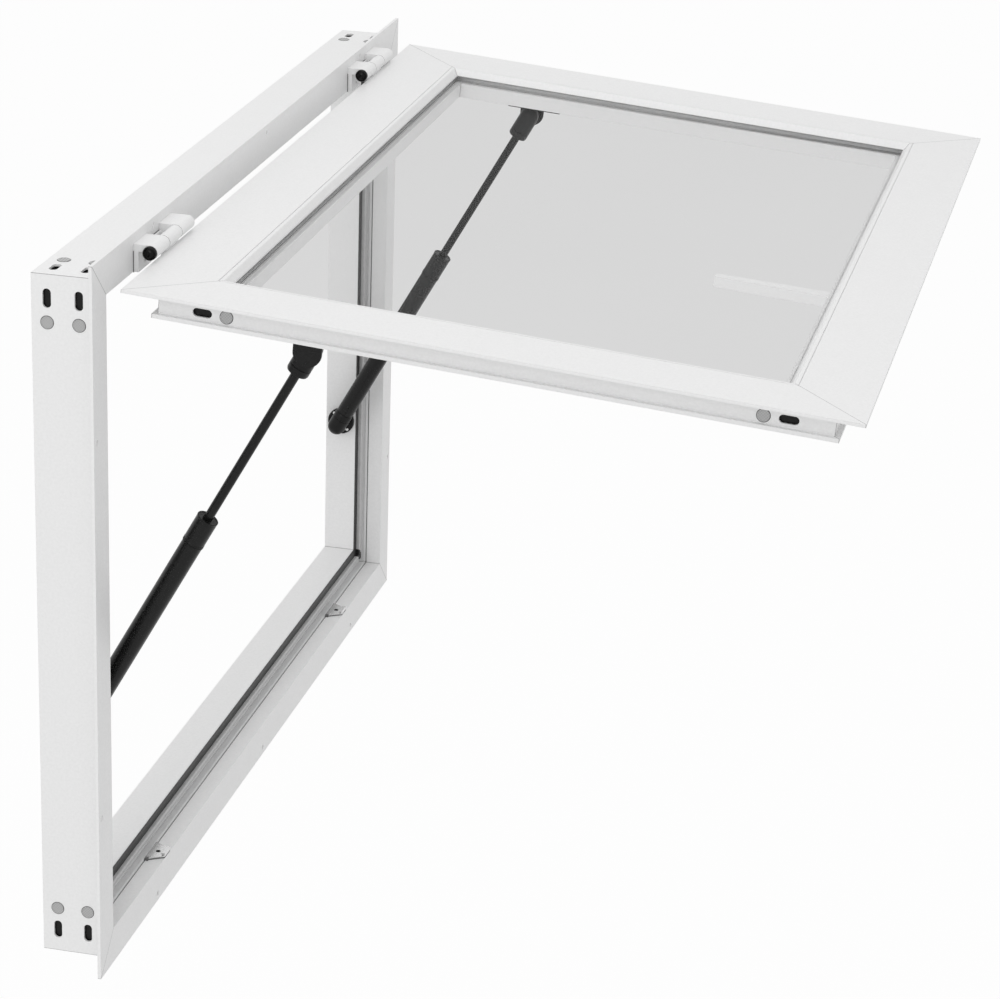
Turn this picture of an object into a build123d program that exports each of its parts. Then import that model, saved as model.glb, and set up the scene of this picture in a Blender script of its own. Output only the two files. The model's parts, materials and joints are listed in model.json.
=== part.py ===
"""Awning concession window: a mitred aluminium frame with a wall flange and a glazed door that is
hinged along its top edge and held open by two gas struts.

Millimetres. X runs across the width, -Y is the outside of the wall, +Z is up. The origin lies on
the back face of the flange, in the middle of the strip below the sill. The door stands open.
"""
import os
from math import cos, hypot, radians, sin

from build123d import *

os.makedirs("parts", exist_ok=True)

# Frame extrusion
BODY_WIDTH = 900.0          # outside of the frame body, what goes into the wall opening
BODY_HEIGHT = 600.0
BODY_DEPTH = 53.0           # behind the flange
FLANGE_THICKNESS = 3.0
FLANGE_LAP = 14.0           # beyond the body, over the wall
THROAT_INSET = 18.0         # body face to the front opening
REVEAL_INSET = 40.0         # body face to the rear opening
LEDGE_DEPTH = 21.0          # flange back to the seal ledge
WALL = 2.0                  # extrusion wall
GROOVE_START = 12.0         # flange back to the groove in the throat
GROOVE_DEPTH = 0.8
RIB_START = 13.0            # flange back to the rib beside it
RIB_HEIGHT = 1.0
RIB_THICKNESS = 2.5
SEAL_INSET = 28.0           # body face to the seal's middle
SEAL_GROOVE = 5.0
SEAL_GROOVE_DEPTH = 4.0
SEAL_GROOVE_WALL = 2.0
SEAL_SLACK = 0.2
SEAL_WIDTH = 7.0
SEAL_HEIGHT = 5.0
SEAL_NICK = 1.0             # depth of the nick between the seal's two lobes
TAIL_WIDTH = 8.0            # flat tail of the seal towards the reveal
TAIL_THICKNESS = 0.8
SLOT_LENGTH = 16.0
SLOT_WIDTH = 7.0
SLOT_FROM_END = 20.0
PLUG_FROM_END = 40.0
PLUG_DIAMETER = 10.5
PLUG_SIDES = 12
PLUG_THICKNESS = 0.6
SLOT_ROWS = (13.3, 40.0)    # behind the flange
FLANGE_HOLE = 5.0
FLANGE_HOLE_FROM_END = 134.0

# Door extrusion
PLATE_LAP = 14.0            # door plate beyond the throat
PLATE_THICKNESS = 2.8
PLATE_GAP = 5.0             # door plate to flange face, shut
DOOR_THICKNESS = 26.0
JOINT_INSET = 60.5          # plate edge to the joint line of the glazing bead
JOINT_WIDTH = 0.6
JOINT_DEPTH = 0.6
BEAD_CREST = 64.0           # plate edge to where the bead starts to slope
BEAD_ROUND = 1.5
BEAD_INSET = 68.0           # plate edge to the bead's tip
GASKET_WIDTH = 1.0
GASKET_HEIGHT = 1.0
LEG_INSET = 74.5            # plate edge to the end of the leg behind the glass
LEG_GASKET_INSET = 69.0
LEG_GASKET_WIDTH = 1.3
DOOR_WALL_INSET = 24.0      # plate edge to the side wall
LIP_INSET = 20.0            # plate edge to the rear lip
LIP_THICKNESS = 3.5
GLASS_THICKNESS = 5.0
GLASS_DEPTH = 7.0           # outer face to the glass
GLASS_BITE = 7.0            # glass held under the bead
DOOR_SLOT_FROM_END = 60.5   # plate edge to the slot
DOOR_PLUG_FROM_END = 80.5
DOOR_SLOT_DEPTH = 16.0
STRIKER_NOTCH = 30.0

# Hinges
HINGE_OUT = 6.8             # pin axis in front of the shut door's face
HINGE_RISE = 3.2            # pin axis above the shut door's edge
BARREL_DIAMETER = 12.0
HINGE_LENGTH = 96.0
HINGE_FROM_SIDE = 131.0     # body's side face to the hinge's middle
PIN_DIAMETER = 6.0
PIN_SLACK = 0.05
KNUCKLE_GAP = 0.3
LEAF_THICKNESS = 2.4
PAD_THICKNESS = 4.6         # frame leaf under its two knuckles
KNUCKLE_END = 2.0           # closed end of the last knuckle
CAP_DIAMETER = 11.4
CAP_THICKNESS = 3.0
DOOR_LEAF_THICKNESS = 1.8
DOOR_LEAF_REACH = 4.0       # pin axis to the back of the bend in the door leaf
OPEN_ANGLE = 85.5

# Gas struts
STRUT_FROM_REVEAL = 18.0    # reveal face to the strut's middle
JAMB_BALL_DEPTH = 36.4      # flange back to the ball on the jamb
JAMB_BALL_DROP = 413.0      # top of the frame body to that ball
DOOR_BALL_ALONG = 144.0     # plate edge to the ball on the door
DOOR_BALL_DEPTH = 39.5      # outer face to that ball
CYLINDER_DIAMETER = 18.0
CYLINDER_WALL = 1.5
CYLINDER_LENGTH = 209.5
COLLAR_DIAMETER = 18.6
COLLAR_LENGTH = 25.0
GUIDE_LENGTH = 12.0
ROD_DIAMETER = 8.0
ROD_SLACK = 0.1
PISTON_LENGTH = 8.0
PISTON_FROM_GUIDE = 4.0     # piston to guide, strut at full length
SOCKET_DIAMETER = 19.0
SOCKET_THICKNESS = 16.0
LOWER_SOCKET_REACH = 18.0   # ball to the end of the socket
UPPER_SOCKET_REACH = 25.0
STUD_SIDES = 6              # the studs have a hexagon for the spanner
STUD_DIAMETER = 8.0         # across its corners
STUD_GAP = 0.4              # the stud stops short of the socket, which is the open pivot
STUD_LENGTH = 3.0
BASE_DIAMETER = 28.0
BASE_THICKNESS = 3.0
BRACKET_ALONG = 151.0       # plate edge to the bracket's middle
BRACKET_LENGTH = 53.0
BRACKET_INSET = 70.0        # plate's side edge to the bracket's inner end
BRACKET_THICKNESS = 2.0
TAB_WIDTH = 24.0

# Handle and strikers
HANDLE_FROM_EDGE = 53.0     # free edge of the plate to the spindle
HANDLE_BASE_WIDTH = 18.0
HANDLE_BASE_LENGTH = 60.0
HANDLE_BASE_HEIGHT = 10.0
SPINDLE_DIAMETER = 12.0
LEVER_DEPTH = 46.0          # outer face to the lever's near side
LEVER_THICKNESS = 10.0
LEVER_LENGTH = 135.0        # spindle to the free end
LEVER_ROOT = 16.0
LEVER_TIP = 10.0
STRIKER_FROM_SIDE = 161.0   # body's side face to the striker's middle
STRIKER_BACK_WIDTH = 34.0
STRIKER_FRONT_WIDTH = 14.0
STRIKER_DEPTH = 16.0        # flange face to the rib
STRIKER_THICKNESS = 2.0
HOOK_HEIGHT = 4.5           # bent front edge of the striker
HOOK_REACH = 3.5
HOOK_STEEL = 1.5

# Worked out from the sizes above
sill_z = FLANGE_LAP / 2
head_z = sill_z + BODY_HEIGHT
throat_width = BODY_WIDTH - 2 * THROAT_INSET
throat_height = BODY_HEIGHT - 2 * THROAT_INSET
plate_width = throat_width + 2 * PLATE_LAP
plate_height = throat_height + 2 * PLATE_LAP
face_y = -FLANGE_THICKNESS - PLATE_GAP - PLATE_THICKNESS
edge_z = head_z - THROAT_INSET + PLATE_LAP
pin_y = face_y - HINGE_OUT
pin_z = edge_z + HINGE_RISE
bead_start = JOINT_INSET + JOINT_WIDTH
glass_inset = BEAD_INSET - GLASS_BITE
glass_back = GLASS_DEPTH + GLASS_THICKNESS
strut_x = BODY_WIDTH / 2 - REVEAL_INSET - STRUT_FROM_REVEAL
jamb_ball_z = head_z - JAMB_BALL_DROP
handle_along = plate_height - HANDLE_FROM_EDGE


def opened(y, z):
    """Where a point of the shut door lies when the door stands open."""
    turn = radians(-OPEN_ANGLE)
    dy = y - pin_y
    dz = z - pin_z
    return (0, pin_y + dy * cos(turn) - dz * sin(turn), pin_z + dy * sin(turn) + dz * cos(turn))


# Both planes look through the window from outside: x across, y down, z towards the room
frame_plane = Plane(origin=(0, 0, head_z), x_dir=(1, 0, 0), z_dir=(0, 1, 0))
door_plane = Plane(
    origin=opened(face_y, edge_z),
    x_dir=(1, 0, 0),
    z_dir=(0, cos(radians(OPEN_ANGLE)), -sin(radians(OPEN_ANGLE))),
)


def side_planes(plane, width, height):
    """For each side of a rectangle: x towards its middle, y towards the room, z along the side."""
    across, down, depth = plane.x_dir, plane.y_dir, plane.z_dir
    places = {
        "top": (plane.origin, down),
        "bottom": (plane.origin + down * height, down * -1),
        "left": (plane.origin - across * (width / 2) + down * (height / 2), across),
        "right": (plane.origin + across * (width / 2) + down * (height / 2), across * -1),
    }
    return {
        side: Plane(origin=place, x_dir=inward, z_dir=inward.cross(depth))
        for side, (place, inward) in places.items()
    }


def save(piece, name):
    piece.part.label = name
    export_step(piece.part, f"parts/{name}.step")


def halves(width, height):
    """Half the length of each side of a rectangle."""
    return {"top": width / 2, "bottom": width / 2, "left": height / 2, "right": height / 2}


def along(half, from_end, rows):
    """Places near both ends of a member, in each row."""
    return [(row, end * (half - from_end)) for end in (-1, 1) for row in rows]


def mitred(section, side, half):
    """A length of a section along one side, with both ends mitred."""
    with BuildPart() as member:
        with BuildSketch(side):
            add(section)
        extrude(amount=half + 2 * FLANGE_LAP, both=True)
        for end in (-1, 1):
            corner = side.origin + side.z_dir * (end * half)
            split(bisect_by=Plane(origin=corner, z_dir=side.z_dir * end + side.x_dir), keep=Keep.BOTTOM)
    return member.part


def plug_heads(sides, lengths, inset, from_end, rows):
    """Heads of the plugs that close the holes to the corner cleats."""
    with BuildPart() as plugs:
        for side, base in sides.items():
            wall = Plane(origin=base.origin + base.x_dir * inset, x_dir=base.y_dir, z_dir=base.x_dir * -1)
            with BuildSketch(wall):
                with Locations(*along(lengths[side], from_end, rows)):
                    RegularPolygon(radius=PLUG_DIAMETER / 2, side_count=PLUG_SIDES)
            extrude(amount=PLUG_THICKNESS)
    return plugs


# Frame members: the section's x is the inset from the body's face, its y the depth behind the flange
with BuildSketch() as frame_section:
    with BuildLine():
        Polyline(
            (-FLANGE_LAP, -FLANGE_THICKNESS),
            (THROAT_INSET, -FLANGE_THICKNESS),
            (THROAT_INSET, GROOVE_START),
            (THROAT_INSET - GROOVE_DEPTH, GROOVE_START),
            (THROAT_INSET - GROOVE_DEPTH, RIB_START),
            (THROAT_INSET + RIB_HEIGHT, RIB_START),
            (THROAT_INSET + RIB_HEIGHT, RIB_START + RIB_THICKNESS),
            (THROAT_INSET, RIB_START + RIB_THICKNESS),
            (THROAT_INSET, LEDGE_DEPTH),
            (REVEAL_INSET, LEDGE_DEPTH),
            (REVEAL_INSET, BODY_DEPTH),
            (0, BODY_DEPTH),
            (0, 0),
            (-FLANGE_LAP, 0),
            close=True,
        )
    make_face()
    with Locations((WALL, 0)):
        Rectangle(THROAT_INSET - 2 * WALL, LEDGE_DEPTH, align=Align.MIN, mode=Mode.SUBTRACT)
    with Locations((WALL, LEDGE_DEPTH + WALL)):
        Rectangle(
            REVEAL_INSET - 2 * WALL,
            BODY_DEPTH - LEDGE_DEPTH - 2 * WALL,
            align=Align.MIN,
            mode=Mode.SUBTRACT,
        )
    with Locations((SEAL_INSET, LEDGE_DEPTH)):
        Rectangle(
            SEAL_GROOVE + 2 * SEAL_GROOVE_WALL,
            SEAL_GROOVE_DEPTH + SEAL_GROOVE_WALL,
            align=(Align.CENTER, Align.MIN),
        )
        Rectangle(SEAL_GROOVE, SEAL_GROOVE_DEPTH, align=(Align.CENTER, Align.MIN), mode=Mode.SUBTRACT)

frame_sides = side_planes(frame_plane, BODY_WIDTH, BODY_HEIGHT)
frame_halves = halves(BODY_WIDTH, BODY_HEIGHT)
frame_names = {
    "top": "frame_head",
    "bottom": "frame_sill",
    "left": "frame_left_jamb",
    "right": "frame_right_jamb",
}

for side, name in frame_names.items():
    base = frame_sides[side]
    half = frame_halves[side]
    outer_face = Plane(origin=base.origin, x_dir=base.y_dir, z_dir=base.x_dir * -1)
    flange_face = Plane(origin=base.origin, x_dir=base.x_dir, z_dir=base.y_dir)
    hole_places = along(half, FLANGE_HOLE_FROM_END, (-FLANGE_LAP / 2,))
    if side in ("top", "bottom"):
        hole_places.append((-FLANGE_LAP / 2, 0))
    with BuildPart() as member:
        add(mitred(frame_section.sketch, base, half))
        with BuildSketch(outer_face):
            with Locations(*along(half, SLOT_FROM_END, SLOT_ROWS)):
                SlotOverall(SLOT_LENGTH, SLOT_WIDTH, rotation=90)
        extrude(amount=-WALL, mode=Mode.SUBTRACT)
        with BuildSketch(flange_face):
            with Locations(*hole_places):
                Circle(FLANGE_HOLE / 2)
        extrude(amount=-FLANGE_THICKNESS, mode=Mode.SUBTRACT)
    save(member, name)

save(plug_heads(frame_sides, frame_halves, 0, PLUG_FROM_END, SLOT_ROWS), "frame_corner_plugs")

# Seal on the ledge: a stem in the groove, a bulb with two lobes and a flat tail towards the reveal
lobe = SEAL_WIDTH / 4
with BuildSketch() as seal_section:
    with Locations((SEAL_INSET, LEDGE_DEPTH)):
        Rectangle(
            SEAL_GROOVE - 2 * SEAL_SLACK,
            SEAL_GROOVE_DEPTH - SEAL_SLACK,
            align=(Align.CENTER, Align.MIN),
        )
        Rectangle(SEAL_WIDTH, SEAL_HEIGHT - SEAL_NICK, align=(Align.CENTER, Align.MAX))
    lobe_depth = LEDGE_DEPTH - SEAL_HEIGHT + lobe
    with Locations((SEAL_INSET - lobe, lobe_depth), (SEAL_INSET + lobe, lobe_depth)):
        Circle(lobe)
    with Locations((SEAL_INSET + SEAL_WIDTH / 2, LEDGE_DEPTH)):
        Rectangle(TAIL_WIDTH, TAIL_THICKNESS, align=(Align.MIN, Align.MAX))

with BuildPart() as frame_seal:
    for side, base in frame_sides.items():
        add(mitred(seal_section.sketch, base, frame_halves[side]))
save(frame_seal, "frame_seal")

# Door members: the section's x is the inset from the plate's edge, its y the depth behind its face
with BuildSketch() as door_section:
    with BuildLine():
        Polyline(
            (0, 0),
            (JOINT_INSET, 0),
            (JOINT_INSET, JOINT_DEPTH),
            (bead_start, JOINT_DEPTH),
            (bead_start, 0),
            (BEAD_CREST, 0),
            (BEAD_INSET, GLASS_DEPTH - GASKET_HEIGHT),
            (BEAD_INSET, GLASS_DEPTH),
            (glass_inset, GLASS_DEPTH),
            (glass_inset, glass_back),
            (LEG_GASKET_INSET, glass_back),
            (LEG_GASKET_INSET, glass_back + GASKET_HEIGHT),
            (LEG_GASKET_INSET + LEG_GASKET_WIDTH, glass_back + GASKET_HEIGHT),
            (LEG_GASKET_INSET + LEG_GASKET_WIDTH, glass_back),
            (LEG_INSET, glass_back),
            (LEG_INSET, DOOR_THICKNESS),
            (LIP_INSET, DOOR_THICKNESS),
            (LIP_INSET, DOOR_THICKNESS - LIP_THICKNESS),
            (DOOR_WALL_INSET, DOOR_THICKNESS - LIP_THICKNESS),
            (DOOR_WALL_INSET, PLATE_THICKNESS),
            (0, PLATE_THICKNESS),
            close=True,
        )
    make_face()
    fillet(door_section.vertices().sort_by_distance((BEAD_CREST, 0))[0], BEAD_ROUND)
    with Locations((DOOR_WALL_INSET + WALL, PLATE_THICKNESS)):
        Rectangle(
            glass_inset - DOOR_WALL_INSET - 2 * WALL,
            DOOR_THICKNESS - PLATE_THICKNESS - WALL,
            align=Align.MIN,
            mode=Mode.SUBTRACT,
        )
    with Locations((glass_inset, glass_back + WALL)):
        Rectangle(
            LEG_INSET - WALL - glass_inset,
            DOOR_THICKNESS - glass_back - 2 * WALL,
            align=Align.MIN,
            mode=Mode.SUBTRACT,
        )

door_sides = side_planes(door_plane, plate_width, plate_height)
door_halves = halves(plate_width, plate_height)
door_names = {
    "top": "door_top_rail",
    "bottom": "door_bottom_rail",
    "left": "door_left_stile",
    "right": "door_right_stile",
}
stiles = {side: base for side, base in door_sides.items() if side in ("left", "right")}
striker_x = BODY_WIDTH / 2 - STRIKER_FROM_SIDE

for side, name in door_names.items():
    base = door_sides[side]
    half = door_halves[side]
    with BuildPart() as member:
        add(mitred(door_section.sketch, base, half))
        if side in stiles:
            side_wall = Plane(
                origin=base.origin + base.x_dir * DOOR_WALL_INSET, x_dir=base.y_dir, z_dir=base.x_dir * -1
            )
            with BuildSketch(side_wall):
                with Locations(*along(half, DOOR_SLOT_FROM_END, (DOOR_SLOT_DEPTH,))):
                    SlotOverall(SLOT_LENGTH, SLOT_WIDTH, rotation=90)
            extrude(amount=-WALL, mode=Mode.SUBTRACT)
        if side == "bottom":
            lip_face = Plane(origin=base.origin, x_dir=base.x_dir, z_dir=base.y_dir).offset(DOOR_THICKNESS)
            with BuildSketch(lip_face):
                with Locations((LIP_INSET, -striker_x), (LIP_INSET, striker_x)):
                    Rectangle(
                        DOOR_WALL_INSET - LIP_INSET, STRIKER_NOTCH, align=(Align.MIN, Align.CENTER)
                    )
            extrude(amount=-LIP_THICKNESS, mode=Mode.SUBTRACT)
    save(member, name)

save(
    plug_heads(stiles, door_halves, DOOR_WALL_INSET, DOOR_PLUG_FROM_END, (DOOR_SLOT_DEPTH,)),
    "door_corner_plugs",
)

with BuildPart() as glass:
    with BuildSketch(door_plane.offset(GLASS_DEPTH)):
        with Locations((0, plate_height / 2)):
            Rectangle(plate_width - 2 * glass_inset, plate_height - 2 * glass_inset)
    extrude(amount=GLASS_THICKNESS)
save(glass, "door_glass")


def ring(inset, thickness):
    """A ring on the door, from an inset from the plate's edge inwards."""
    width = plate_width - 2 * inset
    height = plate_height - 2 * inset
    with BuildSketch() as outline:
        with Locations((0, plate_height / 2)):
            Rectangle(width, height)
            Rectangle(width - 2 * thickness, height - 2 * thickness, mode=Mode.SUBTRACT)
    return outline.sketch


# Glazing gaskets: one before the bead's tip and one in the groove of the leg behind the glass
with BuildPart() as gasket:
    with BuildSketch(door_plane.offset(GLASS_DEPTH)):
        add(ring(BEAD_INSET, GASKET_WIDTH))
    extrude(amount=-GASKET_HEIGHT)
    with BuildSketch(door_plane.offset(glass_back)):
        add(ring(LEG_GASKET_INSET, LEG_GASKET_WIDTH))
    extrude(amount=GASKET_HEIGHT)
save(gasket, "glazing_gasket")

# Hinges: two knuckles on the frame leaf, the middle one on the door leaf
knuckle = HINGE_LENGTH / 3
hinge_x = BODY_WIDTH / 2 - HINGE_FROM_SIDE
pin_axis = Plane(origin=(0, pin_y, pin_z), x_dir=(0, 1, 0), z_dir=(1, 0, 0))
leaf_bottom = head_z - THROAT_INSET
web_reach = -FLANGE_THICKNESS - pin_y
bend_front = opened(face_y, edge_z)
bend_back = opened(face_y + PLATE_THICKNESS + DOOR_LEAF_THICKNESS, edge_z)

for hand, centre in (("left", -hinge_x), ("right", hinge_x)):
    start = centre - HINGE_LENGTH / 2
    with BuildPart() as frame_leaf:
        with BuildSketch(Plane.XZ.offset(FLANGE_THICKNESS)):
            with Locations((centre, leaf_bottom)):
                Rectangle(HINGE_LENGTH - KNUCKLE_GAP, pin_z - leaf_bottom, align=(Align.CENTER, Align.MIN))
        extrude(amount=LEAF_THICKNESS)
        for place, bore in ((start, knuckle), (start + 2 * knuckle, knuckle - KNUCKLE_GAP - KNUCKLE_END)):
            with BuildSketch(pin_axis.offset(place)):
                Circle(BARREL_DIAMETER / 2)
                Rectangle(web_reach, BARREL_DIAMETER / 2, align=Align.MIN)
                with Locations((web_reach, 0)):
                    Rectangle(PAD_THICKNESS, pin_z - leaf_bottom, align=Align.MAX)
            extrude(amount=knuckle - KNUCKLE_GAP)
            with BuildSketch(pin_axis.offset(place)):
                Circle(PIN_DIAMETER / 2)
            extrude(amount=bore, mode=Mode.SUBTRACT)
    save(frame_leaf, f"hinge_{hand}_frame_leaf")

    with BuildPart() as pin:
        with BuildSketch(pin_axis.offset(start)):
            Circle(PIN_DIAMETER / 2)
        extrude(amount=HINGE_LENGTH - KNUCKLE_GAP - KNUCKLE_END)
        with BuildSketch(pin_axis.offset(start)):
            Circle(CAP_DIAMETER / 2)
        extrude(amount=-CAP_THICKNESS)
    save(pin, f"hinge_{hand}_pin")

    with BuildPart() as door_leaf:
        with BuildSketch(pin_axis.offset(start + knuckle)):
            Circle(BARREL_DIAMETER / 2)
            with BuildLine():
                Polyline(
                    (bend_front[1] - pin_y, bend_front[2] - pin_z),
                    (bend_back[1] - pin_y, bend_back[2] - pin_z),
                    (bend_back[1] - pin_y + DOOR_LEAF_REACH, bend_back[2] - pin_z),
                    (DOOR_LEAF_REACH, 0),
                    (0, 0),
                    close=True,
                )
            make_face()
            Circle(PIN_DIAMETER / 2 + PIN_SLACK, mode=Mode.SUBTRACT)
        extrude(amount=knuckle - KNUCKLE_GAP)
        with BuildSketch(door_plane.offset(PLATE_THICKNESS)):
            with Locations((start + knuckle, 0)):
                Rectangle(knuckle - KNUCKLE_GAP, DOOR_WALL_INSET, align=Align.MIN)
        extrude(amount=DOOR_LEAF_THICKNESS)
    save(door_leaf, f"hinge_{hand}_door_leaf")

# Gas struts: the ball on the jamb, the ball on the door, and the strut between them
door_ball = opened(face_y + DOOR_BALL_DEPTH, edge_z - DOOR_BALL_ALONG)
rise_y = door_ball[1] - JAMB_BALL_DEPTH
rise_z = door_ball[2] - jamb_ball_z
strut_length = hypot(rise_y, rise_z)
strut_dir = Vector(0, rise_y / strut_length, rise_z / strut_length)
jamb_face = BODY_WIDTH / 2 - REVEAL_INSET
rail_back = door_plane.offset(DOOR_THICKNESS)
cylinder_end = LOWER_SOCKET_REACH + CYLINDER_LENGTH

stud_end = strut_x + SOCKET_THICKNESS / 2 + STUD_GAP

for hand, sign in (("left", -1), ("right", 1)):
    low = Vector(sign * strut_x, JAMB_BALL_DEPTH, jamb_ball_z)
    high = Vector(sign * strut_x, door_ball[1], door_ball[2])
    outward = Vector(sign, 0, 0)
    stud_plane = Plane(origin=(sign * jamb_face, low.Y, low.Z), z_dir=outward * -1)

    with BuildPart() as jamb_stud:
        with BuildSketch(stud_plane):
            Circle(BASE_DIAMETER / 2)
        extrude(amount=BASE_THICKNESS)
        with BuildSketch(stud_plane):
            RegularPolygon(radius=STUD_DIAMETER / 2, side_count=STUD_SIDES)
        extrude(amount=jamb_face - stud_end)
    save(jamb_stud, f"{hand}_jamb_ball_stud")

    low_plane = Plane(origin=low, x_dir=(1, 0, 0), z_dir=strut_dir)
    bore = CYLINDER_DIAMETER / 2 - CYLINDER_WALL
    with BuildPart() as cylinder:
        with BuildSketch(low_plane.offset(LOWER_SOCKET_REACH)):
            Circle(CYLINDER_DIAMETER / 2)
        extrude(amount=CYLINDER_LENGTH)
        with BuildSketch(low_plane.offset(cylinder_end - COLLAR_LENGTH)):
            Circle(COLLAR_DIAMETER / 2)
        extrude(amount=COLLAR_LENGTH)
        with BuildSketch(low_plane.offset(LOWER_SOCKET_REACH + CYLINDER_WALL)):
            Circle(bore)
        extrude(amount=CYLINDER_LENGTH - CYLINDER_WALL - GUIDE_LENGTH, mode=Mode.SUBTRACT)
        with BuildSketch(low_plane.offset(cylinder_end)):
            Circle(ROD_DIAMETER / 2 + ROD_SLACK)
        extrude(amount=-GUIDE_LENGTH, mode=Mode.SUBTRACT)
    save(cylinder, f"{hand}_strut_cylinder")

    piston_start = cylinder_end - GUIDE_LENGTH - PISTON_FROM_GUIDE - PISTON_LENGTH
    with BuildPart() as rod:
        with BuildSketch(low_plane.offset(piston_start)):
            Circle(ROD_DIAMETER / 2)
        extrude(amount=strut_length - UPPER_SOCKET_REACH - piston_start)
        with BuildSketch(low_plane.offset(piston_start)):
            Circle(bore - ROD_SLACK)
        extrude(amount=PISTON_LENGTH)
    save(rod, f"{hand}_strut_rod")

    for name, ball, towards_rod, reach in (
        ("lower", low, strut_dir, LOWER_SOCKET_REACH),
        ("upper", high, strut_dir * -1, UPPER_SOCKET_REACH),
    ):
        side_plane = Plane(origin=ball, x_dir=towards_rod, z_dir=(1, 0, 0))
        with BuildPart() as socket:
            with BuildSketch(side_plane):
                Circle(SOCKET_DIAMETER / 2)
                Rectangle(reach, SOCKET_DIAMETER, align=(Align.MIN, Align.CENTER))
            extrude(amount=SOCKET_THICKNESS / 2, both=True)
        save(socket, f"{hand}_strut_{name}_socket")

    tab_in = stud_end + STUD_LENGTH
    plate_in = plate_width / 2 - BRACKET_INSET
    tab_plane = Plane(
        origin=door_plane.origin + outward * tab_in, x_dir=door_plane.y_dir, z_dir=(1, 0, 0)
    )
    with BuildPart() as bracket:
        with BuildSketch(rail_back):
            with Locations((sign * (plate_in + tab_in + BRACKET_THICKNESS) / 2, BRACKET_ALONG)):
                Rectangle(tab_in + BRACKET_THICKNESS - plate_in, BRACKET_LENGTH)
        extrude(amount=BRACKET_THICKNESS)
        with BuildSketch(tab_plane):
            with Locations((DOOR_BALL_ALONG, DOOR_THICKNESS)):
                Rectangle(
                    TAB_WIDTH, DOOR_BALL_DEPTH - DOOR_THICKNESS, align=(Align.CENTER, Align.MIN)
                )
            with Locations((DOOR_BALL_ALONG, DOOR_BALL_DEPTH)):
                Circle(TAB_WIDTH / 2)
        extrude(amount=sign * BRACKET_THICKNESS)
        with BuildSketch(tab_plane):
            with Locations((DOOR_BALL_ALONG, DOOR_BALL_DEPTH)):
                RegularPolygon(radius=STUD_DIAMETER / 2, side_count=STUD_SIDES)
        extrude(amount=-sign * STUD_LENGTH)
    save(bracket, f"{hand}_door_ball_bracket")

# Handle on the bottom rail and its strikers on the sill
with BuildPart() as handle_base:
    with BuildSketch(rail_back):
        with Locations((0, handle_along)):
            SlotOverall(HANDLE_BASE_LENGTH, HANDLE_BASE_WIDTH)
            Circle(SPINDLE_DIAMETER / 2 + PIN_SLACK, mode=Mode.SUBTRACT)
    extrude(amount=HANDLE_BASE_HEIGHT)
save(handle_base, "handle_base")

with BuildPart() as lever:
    with BuildSketch(rail_back):
        with Locations((0, handle_along)):
            Circle(SPINDLE_DIAMETER / 2)
    extrude(amount=LEVER_DEPTH - DOOR_THICKNESS)
    with BuildSketch(door_plane.offset(LEVER_DEPTH)):
        tip_along = handle_along - LEVER_LENGTH + LEVER_TIP / 2
        with Locations((0, handle_along)):
            Circle(LEVER_ROOT / 2)
        with Locations((0, tip_along)):
            Circle(LEVER_TIP / 2)
        with BuildLine():
            Polyline(
                (-LEVER_ROOT / 2, handle_along),
                (LEVER_ROOT / 2, handle_along),
                (LEVER_TIP / 2, tip_along),
                (-LEVER_TIP / 2, tip_along),
                close=True,
            )
        make_face()
    extrude(amount=LEVER_THICKNESS)
save(lever, "lever_handle")

# Strikers on the sill: a plate that widens towards the seal, with a hooked front edge
throat_z = sill_z + THROAT_INSET
striker_front = -FLANGE_THICKNESS
for hand, sign in (("left", -1), ("right", 1)):
    with BuildPart() as striker:
        with BuildSketch(Plane(origin=(sign * striker_x, striker_front, throat_z))):
            with BuildLine():
                Polyline(
                    (-STRIKER_FRONT_WIDTH / 2, 0),
                    (STRIKER_FRONT_WIDTH / 2, 0),
                    (STRIKER_BACK_WIDTH / 2, STRIKER_DEPTH),
                    (-STRIKER_BACK_WIDTH / 2, STRIKER_DEPTH),
                    close=True,
                )
            make_face()
        extrude(amount=STRIKER_THICKNESS)
        hook_start = (sign * striker_x - STRIKER_FRONT_WIDTH / 2, striker_front, throat_z)
        with BuildSketch(Plane(origin=hook_start, x_dir=(0, 1, 0), z_dir=(1, 0, 0))):
            Rectangle(HOOK_STEEL, HOOK_HEIGHT, align=Align.MIN)
            with Locations((0, HOOK_HEIGHT - HOOK_STEEL)):
                Rectangle(HOOK_REACH, HOOK_STEEL, align=Align.MIN)
        extrude(amount=STRIKER_FRONT_WIDTH)
    save(striker, f"{hand}_striker")
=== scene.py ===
import json
from collections import namedtuple
from math import cos, pi, radians, sin

import bpy
from mathutils import Matrix, Vector


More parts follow.
